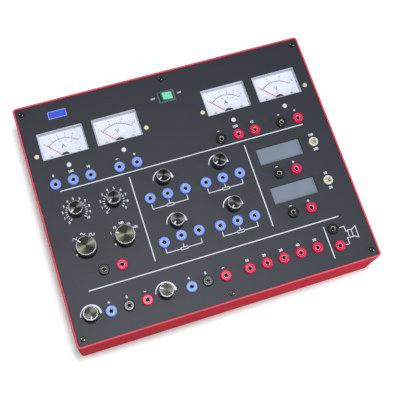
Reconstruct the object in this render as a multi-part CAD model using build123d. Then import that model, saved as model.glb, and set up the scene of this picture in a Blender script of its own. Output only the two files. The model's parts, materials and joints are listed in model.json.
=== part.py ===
from build123d import *
import math
import os

# Case and panel, in millimetres; the origin is on the ground under the middle of the case
panel_w = 324.0
panel_d = 263.0
panel_t = 2.0
panel_gap = 0.15
panel_recess = 1.0
wall = 2.1
case_h = 60.0
corner_r = 4.2
bottom_r = 3.0
rim_r = 0.5
foot_h = 3.0
foot_r = 8.0
foot_stem_r = 2.5
foot_inset = 24.0
fit_gap = 0.05
seat_gap = 0.2

# Panel screws and the posts they go into
screw_inset_x = 6.0
screw_inset_y = 6.7
screw_head_r = 2.85
screw_head_h = 1.9
screw_shank_r = 1.45
screw_length = 12.0
screw_hole_r = 1.7
cross_w = 0.8
cross_depth = 0.9
post_r = 4.2
post_bore_depth = 14.0

# Sockets for 4 mm plugs
plug_r = 2.0
plug_depth = 19.0
socket_head_r = 5.75
socket_head_h = 4.2
socket_chamfer = 0.9
lip_r = 2.95
lip_h = 1.2
lip_drop = 0.15
sleeve_r = 2.6
barrel_r = 3.9
barrel_length = 15.0
socket_hole_r = 4.0
socket_nut_across = 9.5
socket_nut_h = 2.5
sleeve_end_t = 2.0
tail_r = 1.0
tail_length = 5.0

# Rotary controls
shaft_r = 3.0
grip_gap = 0.02
knob_lift = 0.8
knob_chamfer = 0.7
knob_taper = 0.1
pot_knob_r = 7.5
pot_knob_h = 14.0
selector_knob_r = 10.4
selector_knob_h = 15.5
knob_cap_t = 2.5
pointer_w = 1.3
pointer_depth = 0.35
pointer_start = 0.45
knob_hollow_h = 3.0
nut_clearance = 0.6
bushing_top = 3.2
control_nut_h = 2.2
pot_bushing_r = 3.5
pot_nut_across = 10.0
pot_can_r = 8.0
pot_can_h = 9.0
can_wall = 1.1
wiper_r = 6.0
wiper_t = 1.5
pot_pin_count = 3
pot_pin_pitch = 4.0
pot_pin_w = 1.2
pot_pin_length = 3.5
selector_bushing_r = 4.5
selector_nut_across = 12.0
selector_body_r = 14.5
selector_body_h = 12.0
locating_pin_r = 1.1
locating_pin_offset = 12.4
locating_pin_top = 0.8
contact_count = 8
contact_ring_r = 10.5
contact_r = 0.6
contact_length = 4.0
bushing_hole_gap = 0.15

# Analog meters, measured from the middle of each window
window_w = 49.8
window_h = 31.4
window_gap = 0.2
window_drop = 0.3
window_wall = 1.2
dial_depth = 6.2
dial_t = 0.8
housing_side = 1.7
housing_above = 2.8
housing_below = 17.3
housing_depth = 27.0
housing_wall = 1.4
pivot_below = 0.3
dial_notch_r = 3.4
hub_r = 5.4
hub_foot = 1.9
hub_depth = 3.7
hub_t = 0.8
yoke_r = 9.5
yoke_bore_r = 7.4
yoke_base_t = 2.0
core_r = 4.6
core_h = 9.5
core_arm_w = 3.0
core_arm_t = 3.5
coil_gap = 0.5
coil_bar = 1.5
coil_t = 1.6
staff_r = 0.6
staff_seat = 1.2
needle_depth = 5.1
needle_t = 0.4
needle_w = 0.6
needle_length = 25.5
needle_tail = 4.4
needle_hub_r = 1.8
needle_hub_t = 0.8
adjuster_below = 11.7
adjuster_head_r = 2.45
adjuster_head_top = 0.6
adjuster_head_t = 2.3
adjuster_stem_r = 1.5
adjuster_depth = 7.5
adjuster_gap = 0.3
adjuster_slot_w = 0.7
adjuster_slot_depth = 0.8
peg_r = 0.45
peg_offset = 0.85
peg_length = 1.0
strap_t = 1.5
strap_w = 12.0
strap_rise = 5.8
strap_flange = 7.5
strap_screw_offset = 3.6
meter_screw_head_r = 2.5
meter_screw_head_h = 1.6
meter_screw_r = 1.4
meter_screw_length = 6.0

# Digital meters
display_w = 50.0
display_h = 18.8
glass_margin = 2.0
glass_t = 2.6
board_t = 1.6
display_board_w = 58.0
display_board_h = 30.0
display_frame_w = 1.2
display_part_w = 24.0
display_part_h = 8.0
display_part_t = 5.0

# Rocker switch
bezel_w = 19.8
bezel_d = 13.9
bezel_h = 2.0
rocker_open_w = 15.6
rocker_open_d = 10.6
rocker_body_w = 18.6
rocker_body_d = 12.8
rocker_body_h = 16.0
rocker_cavity_h = 12.0
rocker_gap = 0.3
rocker_half = 6.7
rocker_end_h = 4.4
rocker_mid_h = 3.0
rocker_tilt = 11.0
rocker_pivot_z = -1.0
rocker_pin_r = 1.2
rocker_pin_reach = 0.6
blade_w = 4.8
blade_t = 0.8
blade_length = 8.0
blade_pitch = 7.0

# Toggle switches
toggle_bushing_r = 2.95
toggle_bushing_top = 4.5
toggle_nut_r = 5.2
toggle_nut_h = 1.8
toggle_nut_chamfer = 0.4
toggle_body_w = 12.7
toggle_body_d = 7.0
toggle_body_h = 9.5
toggle_ball_r = 1.9
toggle_pivot_z = 2.2
toggle_mouth_r = 2.45
lever_neck_r = 1.0
lever_tip_r = 1.5
lever_length = 11.5
lever_stub = 4.5
lever_tilt = 12.0
toggle_pin_length = 4.0

# Transformer, boards, loudspeaker and mains inlet inside the case
core_w = 48.0
core_tall = 40.0
stack_t = 24.0
limb_w = 16.0
yoke_w = 8.0
winding_reach = 8.5
winding_gap = 0.15
mount_foot_l = 10.0
mount_foot_t = 2.0
peg_pin_r = 1.3
peg_clearance = 0.2
peg_rise = 1.5
boss_r = 3.0
boss_h = 7.0
boss_inset = 4.0
power_board_w = 80.0
power_board_d = 66.0
generator_board_w = 88.0
generator_board_d = 72.0
component_h = 9.0
speaker_r = 28.5
speaker_depth = 17.0
speaker_rim_t = 1.5
speaker_lip = 3.1
magnet_r = 14.0
magnet_t = 6.0
basket_wall = 1.1
cone_t = 0.6
cone_gap = 0.2
cap_r = 7.0
speaker_fence_t = 1.5
speaker_fence_h = 3.0
sound_hole_r = 1.5
sound_ring_pitch = 6.0
sound_ring_count = 3
inlet_z = 28.0
inlet_flange_w = 31.0
inlet_flange_h = 24.0
inlet_flange_t = 2.5
inlet_body_w = 27.0
inlet_body_h = 19.6
inlet_body_depth = 20.0
inlet_cavity_w = 24.2
inlet_cavity_h = 16.4
inlet_cavity_depth = 18.0
inlet_chamfer = 3.0
inlet_pin_w = 2.0
inlet_pin_h = 4.0
inlet_pin_length = 13.0
inlet_pin_pitch = 7.0
inlet_earth_rise = 4.0

# Places on the panel and in the case, from the middle; all spread with the panel
side_margin = 19.9
end_margin = 20.4
blue_sockets = [
    (-141.0, 38.0), (-122.1, 38.0), (-103.2, 38.0), (-71.8, 38.0), (-52.6, 38.0),
    (-50.9, -4.7), (-31.8, -4.7), (-12.2, -4.7), (10.8, -4.7), (29.6, -4.7), (48.8, -4.7),
    (-50.7, -54.4), (-31.7, -52.3), (-12.4, -52.4), (10.6, -54.2), (29.6, -54.2), (48.6, -54.2),
    (-122.1, -106.6), (-37.6, -106.8),
]
red_sockets = [
    (62.0, 38.0), (81.1, 38.0), (131.4, 38.0), (109.3, -17.4), (109.7, -63.1), (-98.6, -64.0),
    (-84.2, -106.6), (-0.5, -106.0), (25.5, -106.2), (44.5, -106.2), (63.2, -106.2),
    (82.1, -106.2), (101.0, -106.2), (124.6, -111.1),
]
black_sockets = [
    (42.6, 38.0), (112.1, 38.0), (89.9, -17.4), (89.5, -62.7), (-117.4, -63.8),
    (-103.4, -106.6), (-19.8, -106.0), (123.7, -91.9),
]
# Each rotary control: place, then where its pointer stands, in degrees from +X
pots = {
    "amplitude": (-127.8, 4.4, 213.0),
    "frequency": (-87.7, 3.9, 214.0),
    "pot_1": (-31.2, 12.4, 212.0),
    "pot_2": (31.0, 12.4, 209.0),
    "pot_3": (-31.3, -37.1, 221.0),
    "pot_4": (31.0, -37.1, 234.0),
    "supply_1": (-142.1, -104.6, 264.0),
    "supply_2": (-63.8, -104.3, 148.0),
}
selectors = {
    "function": (-128.0, -37.6, 136.0),
    "range": (-87.3, -37.7, 154.0),
}
meters = [(-121.9, 83.5), (-61.8, 83.5), (62.8, 83.5), (122.9, 83.5)]
displays = [(99.5, 6.8), (99.7, -39.2)]
toggles = [(138.6, 7.1), (138.6, -39.0)]
rocker = (0.0, 103.0)
transformer = (0.0, 70.0)
power_board = (82.0, 70.0)
generator_board = (-105.0, -30.0)
speaker = (100.0, -88.0)
inlet_x = 120.0
needle_angle = 133.0

# Spread of the places: the outermost ones keep their margins to the panel's edges
every_socket = blue_sockets + red_sockets + black_sockets
spread_x = (panel_w - 2 * side_margin) / (2 * max(abs(x) for x, _, _ in pots.values()))
spread_y = (panel_d - 2 * end_margin) / (2 * max(abs(y) for _, y in every_socket))


def spread(places):
    return [(x * spread_x, y * spread_y) for x, y in places]


def spread_controls(controls):
    return {name: (x * spread_x, y * spread_y, a) for name, (x, y, a) in controls.items()}


blue_sockets = spread(blue_sockets)
red_sockets = spread(red_sockets)
black_sockets = spread(black_sockets)
pots = spread_controls(pots)
selectors = spread_controls(selectors)
meters = spread(meters)
displays = spread(displays)
toggles = spread(toggles)
rocker, transformer, speaker = spread([rocker, transformer, speaker])
power_board, generator_board = spread([power_board, generator_board])
inlet_x *= spread_x

# Worked-out sizes
inner_w = panel_w + 2 * panel_gap
inner_d = panel_d + 2 * panel_gap
outer_w = inner_w + 2 * wall
outer_d = inner_d + 2 * wall
floor_z = foot_h + wall
panel_z = foot_h + case_h - panel_recess
under_z = panel_z - panel_t
yoke_top = dial_depth + dial_t
housing_half_w = window_w / 2 + housing_side
housing_top = window_h / 2 + housing_above
housing_bottom = -window_h / 2 - housing_below
pivot_y = -window_h / 2 - pivot_below
adjuster_y = -window_h / 2 - adjuster_below
strap_y = -window_h / 2 + strap_rise
meter_pairs = [meters[:2], meters[2:]]
boards = [
    (*power_board, power_board_w, power_board_d),
    (*generator_board, generator_board_w, generator_board_d),
]
cavity_floor = housing_depth
screw_places = [
    (sx * (panel_w / 2 - screw_inset_x), sy * (panel_d / 2 - screw_inset_y))
    for sy in (1, -1)
    for sx in (-1, 0, 1)
]
foot_places = [
    (sx * (outer_w / 2 - foot_inset), sy * (outer_d / 2 - foot_inset))
    for sx in (-1, 1)
    for sy in (-1, 1)
]


# Small helpers
def block(x0, x1, y0, y1, z0, z1):
    size = Box(x1 - x0, y1 - y0, z1 - z0)
    return Pos((x0 + x1) / 2, (y0 + y1) / 2, (z0 + z1) / 2) * size


def disc(r, z0, z1, x=0.0, y=0.0):
    return Pos(x, y, (z0 + z1) / 2) * Cylinder(r, z1 - z0)


def hexagon(across, z0, z1):
    outline = RegularPolygon(across / math.sqrt(3), 6, rotation=0)
    return Pos(0, 0, z0) * extrude(outline, z1 - z0)


def turned(points):
    outline = Plane.XZ * make_face(Polyline(*points, close=True))
    return revolve(outline, Axis.Z)


def rounded_block(w, d, h, side_r, base_r):
    body = extrude(RectangleRounded(w, d, side_r), h)
    return fillet(body.faces().sort_by(Axis.Z)[0].edges(), base_r)


def on_panel(shape, x, y):
    return Pos(x, y, panel_z) * shape


def save(name, *solids):
    shape = solids[0] if len(solids) == 1 else Compound(list(solids))
    export_step(shape, f"parts/{name}.step")


# Case tray with its posts, bosses, pegs, fence and inlet pocket
def board_corners(board):
    x, y, w, d = board
    return [
        (x + sx * (w / 2 - boss_inset), y + sy * (d / 2 - boss_inset))
        for sx in (-1, 1)
        for sy in (-1, 1)
    ]


def transformer_feet():
    offset = core_w / 2 + mount_foot_l / 2
    x, y = transformer
    return [(x - offset, y), (x + offset, y)]


def sound_holes():
    x, y = speaker
    holes = [(x, y)]
    for ring in range(1, sound_ring_count + 1):
        for k in range(6 * ring):
            angle = math.radians(360 * k / (6 * ring))
            r = ring * sound_ring_pitch
            holes.append((x + r * math.cos(angle), y + r * math.sin(angle)))
    return holes


def inlet_pocket(extra, depth0, depth1):
    w = inlet_flange_w / 2 + extra
    h = inlet_flange_h / 2 + extra
    y0 = outer_d / 2 - depth1
    y1 = outer_d / 2 - depth0
    return block(inlet_x - w, inlet_x + w, y0, y1, inlet_z - h, inlet_z + h)


def case_tray():
    outside = Pos(0, 0, foot_h) * rounded_block(outer_w, outer_d, case_h, corner_r, bottom_r)
    hollow = rounded_block(inner_w, inner_d, case_h, corner_r - wall, bottom_r - wall)
    tray = outside - Pos(0, 0, floor_z) * hollow
    tray = fillet(tray.edges().group_by(Axis.Z)[-1], rim_r)
    added = [disc(post_r, floor_z, under_z, x, y) for x, y in screw_places]
    for board in boards:
        for x, y in board_corners(board):
            added.append(disc(boss_r, floor_z, floor_z + boss_h, x, y))
            added.append(disc(peg_pin_r, floor_z, floor_z + boss_h + board_t + peg_rise, x, y))
    for x, y in transformer_feet():
        added.append(disc(peg_pin_r, floor_z, floor_z + mount_foot_t + peg_rise, x, y))
    fence_top = floor_z + speaker_fence_h
    fence = disc(speaker_r + seat_gap + speaker_fence_t, floor_z, fence_top, *speaker)
    fence -= disc(speaker_r + seat_gap, floor_z, fence_top, *speaker)
    added.append(fence)
    added.append(inlet_pocket(seat_gap + wall, 0, inlet_flange_t + wall))
    tray += added
    removed = [inlet_pocket(seat_gap, 0, inlet_flange_t)]
    hole_w = inlet_body_w / 2 + seat_gap
    hole_h = inlet_body_h / 2 + seat_gap
    back = outer_d / 2
    removed.append(block(inlet_x - hole_w, inlet_x + hole_w, back - inlet_body_depth, back,
                         inlet_z - hole_h, inlet_z + hole_h))
    for x, y in screw_places:
        removed.append(disc(screw_shank_r + fit_gap, under_z - post_bore_depth, under_z, x, y))
    for x, y in foot_places:
        removed.append(disc(foot_stem_r + fit_gap, foot_h, floor_z, x, y))
    for x, y in sound_holes():
        removed.append(disc(sound_hole_r, foot_h, floor_z, x, y))
    return tray - removed


def rubber_foot(x, y):
    foot = disc(foot_r, 0, foot_h) + disc(foot_stem_r, 0, floor_z)
    return Pos(x, y, 0) * chamfer(foot.edges().group_by(Axis.Z)[0], foot_h / 5)


# Front panel, one sketch with every cut-out
def front_panel():
    outline = RectangleRounded(panel_w, panel_d, corner_r - wall - panel_gap)
    holes = [Pos(x, y) * Circle(screw_hole_r) for x, y in screw_places]
    for x, y in blue_sockets + red_sockets + black_sockets:
        holes.append(Pos(x, y) * Circle(socket_hole_r))
    for x, y, _ in pots.values():
        holes.append(Pos(x, y) * Circle(pot_bushing_r + bushing_hole_gap))
    for x, y, _ in selectors.values():
        holes.append(Pos(x, y) * Circle(selector_bushing_r + bushing_hole_gap))
        pin_hole = Circle(locating_pin_r + bushing_hole_gap)
        holes.append(Pos(x - locating_pin_offset, y) * pin_hole)
    for x, y in toggles:
        holes.append(Pos(x, y) * Circle(toggle_bushing_r + bushing_hole_gap))
    for x, y in meters:
        cut = Rectangle(window_w + 2 * window_gap, window_h + 2 * window_gap)
        holes.append(Pos(x, y) * cut)
        holes.append(Pos(x, y + adjuster_y) * Circle(adjuster_head_r + adjuster_gap))
    for x, y in strap_screw_places():
        holes.append(Pos(x, y) * Circle(meter_screw_r + bushing_hole_gap))
    for x, y in displays:
        holes.append(Pos(x, y) * Rectangle(display_w, display_h))
    body_cut = Rectangle(rocker_body_w + 2 * seat_gap, rocker_body_d + 2 * seat_gap)
    holes.append(Pos(*rocker) * body_cut)
    return Pos(0, 0, under_z) * extrude(outline - holes, panel_t)


def panel_screw(x, y):
    head = fillet(disc(screw_head_r, 0, screw_head_h).edges().sort_by(Axis.Z)[-1], screw_head_h * 0.45)
    screw = head + disc(screw_shank_r, -screw_length, 0)
    arm = screw_head_r * 0.6
    top = screw_head_h
    cross = block(-arm, arm, -cross_w / 2, cross_w / 2, top - cross_depth, top)
    cross += block(-cross_w / 2, cross_w / 2, -arm, arm, top - cross_depth, top)
    return on_panel(Rot(0, 0, 37) * (screw - cross), x, y)


# Sockets
def socket_head(x, y):
    bore = sleeve_r + fit_gap
    seat = lip_r + fit_gap
    top = socket_head_h
    return on_panel(turned([
        (bore, -panel_t - barrel_length),
        (barrel_r, -panel_t - barrel_length),
        (barrel_r, 0),
        (socket_head_r, 0),
        (socket_head_r, top - socket_chamfer),
        (socket_head_r - socket_chamfer, top),
        (seat, top),
        (seat, top - lip_h - lip_drop),
        (bore, top - lip_h - lip_drop),
    ]), x, y)


def socket_sleeve(x, y):
    top = socket_head_h - lip_drop
    end = top - plug_depth - sleeve_end_t
    return on_panel(turned([
        (0, top - plug_depth),
        (plug_r, top - plug_depth),
        (plug_r, top),
        (lip_r, top),
        (lip_r, top - lip_h),
        (sleeve_r, top - lip_h),
        (sleeve_r, end),
        (tail_r, end),
        (tail_r, end - tail_length),
        (0, end - tail_length),
    ]), x, y)


def socket_nut(x, y):
    nut = hexagon(socket_nut_across, -panel_t - socket_nut_h, -panel_t)
    return on_panel(nut - disc(barrel_r + fit_gap, -panel_t - socket_nut_h, -panel_t), x, y)


# Rotary controls
def knob(radius, height, nut_across):
    low = knob_lift
    top = low + height
    hollow = nut_across / math.sqrt(3) + nut_clearance
    bore = shaft_r + grip_gap
    body = turned([
        (0, top - knob_cap_t),
        (bore, top - knob_cap_t),
        (bore, low + knob_hollow_h),
        (hollow, low + knob_hollow_h),
        (hollow, low),
        (radius + knob_taper, low),
        (radius, top - knob_chamfer),
        (radius - knob_chamfer, top),
        (0, top),
    ])
    end = radius - knob_chamfer
    groove = block(radius * pointer_start, end, -pointer_w / 2, pointer_w / 2,
                   top - pointer_depth, top)
    return body - groove


def shaft(height):
    top = knob_lift + height - knob_cap_t - seat_gap
    wiper_top = -panel_t - pot_can_h / 2 + wiper_t
    rod = disc(shaft_r, wiper_top - wiper_t, top)
    return rod + disc(wiper_r, wiper_top - wiper_t, wiper_top)


def hollow_can(radius, depth, bushing_r):
    can = disc(radius, -panel_t - depth, -panel_t) + disc(bushing_r, -panel_t, bushing_top)
    can -= disc(radius - can_wall, -panel_t - depth + can_wall, -panel_t - can_wall)
    return can - disc(shaft_r + fit_gap, -panel_t - can_wall, bushing_top)


def pot_body(x, y):
    can = hollow_can(pot_can_r, pot_can_h, pot_bushing_r)
    for k in range(pot_pin_count):
        px = (k - (pot_pin_count - 1) / 2) * pot_pin_pitch
        low = -panel_t - pot_can_h
        can += block(px - pot_pin_w / 2, px + pot_pin_w / 2, pot_can_r - 2 * can_wall,
                     pot_can_r + pot_pin_length, low, low + can_wall)
    return on_panel(can, x, y)


def selector_body(x, y):
    can = hollow_can(selector_body_r, selector_body_h, selector_bushing_r)
    can += disc(locating_pin_r, -panel_t, locating_pin_top, -locating_pin_offset, 0)
    low = -panel_t - selector_body_h
    for k in range(contact_count):
        angle = math.radians(360 * k / contact_count)
        px = contact_ring_r * math.cos(angle)
        py = contact_ring_r * math.sin(angle)
        can += disc(contact_r, low - contact_length, low + can_wall / 2, px, py)
    return on_panel(can, x, y)


def control_nut(x, y, across, bushing_r):
    nut = hexagon(across, 0, control_nut_h) - disc(bushing_r + fit_gap, 0, control_nut_h)
    return on_panel(nut, x, y)


# Analog meters
def in_meter(shape, k):
    x, y = meters[k]
    return on_panel(shape, x, y)


def meter_window():
    w = window_w / 2
    h = window_h / 2
    cap = block(-w, w, -h, h, -dial_depth, -window_drop)
    cap -= block(-w + window_wall, w - window_wall, -h + window_wall, h - window_wall,
                 -dial_depth, -window_drop - window_wall)
    notch = hub_r + 2 * adjuster_gap
    return cap - block(-notch, notch, -h, -h + window_wall, -dial_depth, -hub_depth + 2 * seat_gap)


def meter_housing():
    w = housing_half_w
    t = housing_wall
    shell = block(-w, w, housing_bottom, housing_top, -panel_t - housing_depth, -panel_t)
    shell -= block(-w + t, w - t, housing_bottom + t, housing_top - t, -cavity_floor, -panel_t - t)
    opening_w = window_w / 2 + window_gap
    opening_h = window_h / 2 + window_gap
    shell -= block(-opening_w, opening_w, -opening_h, opening_h, -panel_t - t, -panel_t)
    return shell - disc(adjuster_stem_r + fit_gap, -panel_t - t, -panel_t, 0, adjuster_y)


def meter_dial():
    w = window_w / 2 - window_gap
    h = window_h / 2 - window_gap
    plate = block(-w, w, -h, h, -dial_depth - dial_t, -dial_depth)
    return plate - disc(dial_notch_r, -dial_depth - dial_t, -dial_depth, 0, pivot_y)


def meter_movement():
    base = disc(yoke_r, -cavity_floor, -cavity_floor + yoke_base_t)
    ring = disc(yoke_r, -cavity_floor + yoke_base_t, -yoke_top)
    ring -= disc(yoke_bore_r, -cavity_floor + yoke_base_t, -yoke_top)
    core_low = -cavity_floor + yoke_base_t + coil_gap + coil_bar + coil_gap
    core_mid = core_low + core_h / 2
    core = disc(core_r, core_low, core_low + core_h)
    arm = block(-core_arm_w / 2, core_arm_w / 2, -yoke_r + can_wall, 0,
                core_mid - core_arm_t / 2, core_mid + core_arm_t / 2)
    seat = disc(staff_r + fit_gap, -cavity_floor + yoke_base_t - staff_seat - fit_gap,
                -cavity_floor + yoke_base_t)
    return Pos(0, pivot_y, 0) * (base + ring + core + arm - seat)


def hub_cover():
    plate = disc(hub_r, -hub_depth - hub_t, -hub_depth)
    plate += block(-hub_r, hub_r, -yoke_r, 0, -hub_depth - hub_t, -hub_depth)
    foot = block(-hub_r, hub_r, -yoke_r, -yoke_r + hub_foot, -yoke_top, -hub_depth - hub_t)
    bearing = disc(staff_r + fit_gap, -hub_depth - hub_t, -hub_depth - hub_t / 4)
    return Pos(0, pivot_y, 0) * (plate + foot - bearing)


def needle():
    core_low = -cavity_floor + yoke_base_t + coil_gap + coil_bar + coil_gap
    inner = core_r + coil_gap
    low = core_low - coil_gap
    high = core_low + core_h + coil_gap
    coil = block(-inner - coil_bar, inner + coil_bar, -coil_t / 2, coil_t / 2,
                 low - coil_bar, high + coil_bar)
    coil -= block(-inner, inner, -coil_t / 2, coil_t / 2, low, high)
    top_staff = disc(staff_r, high + coil_bar, -hub_depth - hub_t / 4 - fit_gap)
    low_staff = disc(staff_r, -cavity_floor + yoke_base_t - staff_seat, low - coil_bar)
    z0 = -needle_depth - needle_t
    arm = block(-needle_w / 2, needle_w / 2, -needle_tail, needle_length, z0, z0 + needle_t)
    weight = block(-needle_w, needle_w, -needle_tail, -needle_hub_r, z0, z0 + needle_t)
    hub = disc(needle_hub_r, z0 - (needle_hub_t - needle_t) / 2, z0 + (needle_hub_t + needle_t) / 2)
    moving = coil + top_staff + low_staff + arm + weight + hub
    return Pos(0, pivot_y, 0) * Rot(0, 0, needle_angle - 90) * moving


def zero_adjuster():
    head_low = adjuster_head_top - adjuster_head_t
    head = disc(adjuster_head_r, head_low, adjuster_head_top)
    head -= block(-adjuster_head_r, adjuster_head_r, -adjuster_slot_w / 2, adjuster_slot_w / 2,
                  adjuster_head_top - adjuster_slot_depth, adjuster_head_top)
    stem = disc(adjuster_stem_r, -adjuster_depth, head_low)
    peg = disc(peg_r, -adjuster_depth - peg_length, -adjuster_depth, 0, peg_offset)
    return Pos(0, adjuster_y, 0) * (head + stem + peg)


def strap_screw_places():
    places = []
    for (x0, y), (x1, _) in meter_pairs:
        offset = housing_half_w + strap_screw_offset
        places += [(x0 - offset, y + strap_y), (x1 + offset, y + strap_y)]
    return places


def meter_strap(left, right):
    y = left[1] + strap_y
    x0 = left[0] - housing_half_w - seat_gap
    x1 = right[0] + housing_half_w + seat_gap
    y0 = y - strap_w / 2
    y1 = y + strap_w / 2
    back = -panel_t - housing_depth
    strap = block(x0 - strap_t, x1 + strap_t, y0, y1, back - strap_t, back)
    strap += block(x0 - strap_t, x0, y0, y1, back, -panel_t)
    strap += block(x1, x1 + strap_t, y0, y1, back, -panel_t)
    strap += block(x0 - strap_flange, x0, y0, y1, -panel_t - strap_t, -panel_t)
    strap += block(x1, x1 + strap_flange, y0, y1, -panel_t - strap_t, -panel_t)
    offset = housing_half_w + strap_screw_offset
    for x in (left[0] - offset, right[0] + offset):
        strap -= disc(meter_screw_r + fit_gap, -panel_t - strap_t, -panel_t, x, y)
    return Pos(0, 0, panel_z) * strap


def meter_screw(x, y):
    head = disc(meter_screw_head_r, 0, meter_screw_head_h)
    head = fillet(head.edges().sort_by(Axis.Z)[-1], meter_screw_head_h / 3)
    top = meter_screw_head_h
    slot = block(-meter_screw_head_r, meter_screw_head_r, -cross_w / 2, cross_w / 2,
                 top - cross_depth, top)
    screw = head - slot + disc(meter_screw_r, -meter_screw_length, 0)
    return on_panel(Rot(0, 0, 25) * screw, x, y)


# Digital meters
def display_glass(x, y):
    w = display_w / 2 + glass_margin
    h = display_h / 2 + glass_margin
    return on_panel(block(-w, w, -h, h, -panel_t - glass_t, -panel_t), x, y)


def display_board(x, y):
    w = display_board_w / 2
    h = display_board_h / 2
    back = -panel_t - glass_t
    board = block(-w, w, -h, h, back - board_t, back)
    frame_w = display_w / 2 + glass_margin + seat_gap
    frame_h = display_h / 2 + glass_margin + seat_gap
    frame = block(-frame_w - display_frame_w, frame_w + display_frame_w,
                  -frame_h - display_frame_w, frame_h + display_frame_w, back, -panel_t)
    frame -= block(-frame_w, frame_w, -frame_h, frame_h, back, -panel_t)
    part_low = back - board_t - display_part_t
    part = block(-display_part_w / 2, display_part_w / 2, -display_part_h / 2, display_part_h / 2,
                 part_low, back - board_t)
    return on_panel(board + frame + part, x, y)


# Rocker switch
def rocker_frame():
    frame = block(-bezel_w / 2, bezel_w / 2, -bezel_d / 2, bezel_d / 2, 0, bezel_h)
    frame = chamfer(frame.faces().sort_by(Axis.Z)[-1].edges(), bezel_h / 3)
    frame += block(-rocker_body_w / 2, rocker_body_w / 2, -rocker_body_d / 2, rocker_body_d / 2,
                   -rocker_body_h, 0)
    frame -= block(-rocker_open_w / 2, rocker_open_w / 2, -rocker_open_d / 2, rocker_open_d / 2,
                   -rocker_cavity_h, bezel_h)
    reach = rocker_open_d / 2 + rocker_pin_reach + fit_gap
    pin_hole = Cylinder(rocker_pin_r + fit_gap, 2 * reach, rotation=(90, 0, 0))
    frame -= Pos(0, 0, rocker_pivot_z) * pin_hole
    for x in (-blade_pitch, 0, blade_pitch):
        frame += block(x - blade_t / 2, x + blade_t / 2, -blade_w / 2, blade_w / 2,
                       -rocker_body_h - blade_length, -rocker_body_h)
    return on_panel(frame, *rocker)


def rocker_button():
    depth = rocker_open_d - 2 * rocker_gap
    outline = Plane.XZ * make_face(Polyline(
        (-rocker_half, rocker_end_h),
        (0, rocker_mid_h),
        (rocker_half, rocker_end_h),
        (rocker_half, -rocker_pin_r),
        (rocker_half / 2, -rocker_end_h),
        (-rocker_half / 2, -rocker_end_h),
        (-rocker_half, -rocker_pin_r),
        close=True,
    ))
    button = extrude(outline, depth / 2, both=True)
    reach = rocker_open_d / 2 + rocker_pin_reach
    button += Cylinder(rocker_pin_r, 2 * reach, rotation=(90, 0, 0))
    return on_panel(Pos(0, 0, rocker_pivot_z) * Rot(0, rocker_tilt, 0) * button, *rocker)


# Toggle switches
def toggle_body(x, y):
    w = toggle_body_w / 2
    d = toggle_body_d / 2
    body = block(-d, d, -w, w, -panel_t - toggle_body_h, -panel_t)
    body += disc(toggle_bushing_r, -panel_t, toggle_bushing_top)
    bore = toggle_ball_r + fit_gap
    rise = toggle_bushing_top - toggle_pivot_z
    stub_low = toggle_pivot_z - lever_stub - 2 * adjuster_gap
    body -= disc(bore, stub_low, toggle_pivot_z)
    body -= Pos(0, 0, toggle_pivot_z) * turned([
        (0, 0), (bore, 0), (toggle_mouth_r, rise), (0, rise),
    ])
    for k in (-1, 0, 1):
        y0 = k * toggle_body_w / 3
        body += block(-blade_w / 4, blade_w / 4, y0 - blade_t / 2, y0 + blade_t / 2,
                      -panel_t - toggle_body_h - toggle_pin_length, -panel_t - toggle_body_h)
    return on_panel(body, x, y)


def toggle_nut(x, y):
    nut = disc(toggle_nut_r, 0, toggle_nut_h)
    nut = chamfer(nut.edges().sort_by(Axis.Z)[-1], toggle_nut_chamfer)
    return on_panel(nut - disc(toggle_bushing_r + fit_gap, 0, toggle_nut_h), x, y)


def toggle_lever(x, y):
    arm = turned([
        (0, 0), (lever_neck_r, 0), (lever_tip_r, lever_length - lever_tip_r),
        (0, lever_length - lever_tip_r),
    ])
    arm += Pos(0, 0, lever_length - lever_tip_r) * Sphere(lever_tip_r)
    lever = arm + Sphere(toggle_ball_r) + disc(lever_neck_r, -lever_stub, 0)
    return on_panel(Pos(0, 0, toggle_pivot_z) * Rot(lever_tilt, 0, 0) * lever, x, y)


# Transformer
def transformer_core():
    w = core_w / 2
    t = stack_t / 2
    core = block(-w, w, -t, t, 0, core_tall)
    for side in (-1, 1):
        x0 = side * limb_w / 2
        x1 = side * (w - yoke_w)
        core -= block(min(x0, x1), max(x0, x1), -t, t, yoke_w, core_tall - yoke_w)
        foot_x = side * (w + mount_foot_l)
        foot = block(min(foot_x, side * w), max(foot_x, side * w), -t, t, 0, mount_foot_t)
        hole = disc(peg_pin_r + peg_clearance, 0, mount_foot_t, side * (w + mount_foot_l / 2), 0)
        core += foot - hole
    return Pos(*transformer, floor_z) * core


def transformer_winding():
    g = winding_gap
    outer_x = core_w / 2 - yoke_w - g
    outer_y = stack_t / 2 + winding_reach
    z0 = yoke_w + g
    z1 = core_tall - yoke_w - g
    coil = block(-outer_x, outer_x, -outer_y, outer_y, z0, z1)
    coil = fillet(coil.edges().filter_by(Axis.Z), winding_reach / 3)
    coil -= block(-limb_w / 2 - g, limb_w / 2 + g, -stack_t / 2 - g, stack_t / 2 + g, z0, z1)
    return Pos(*transformer, floor_z) * coil


# Circuit boards, each with its components standing on it
def circuit_board(board):
    x, y, w, d = board
    z0 = floor_z + boss_h
    plate = block(x - w / 2, x + w / 2, y - d / 2, y + d / 2, z0, z0 + board_t)
    corners = board_corners(board)
    return plate - [disc(peg_pin_r + peg_clearance, z0, z0 + board_t, cx, cy) for cx, cy in corners]


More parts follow.
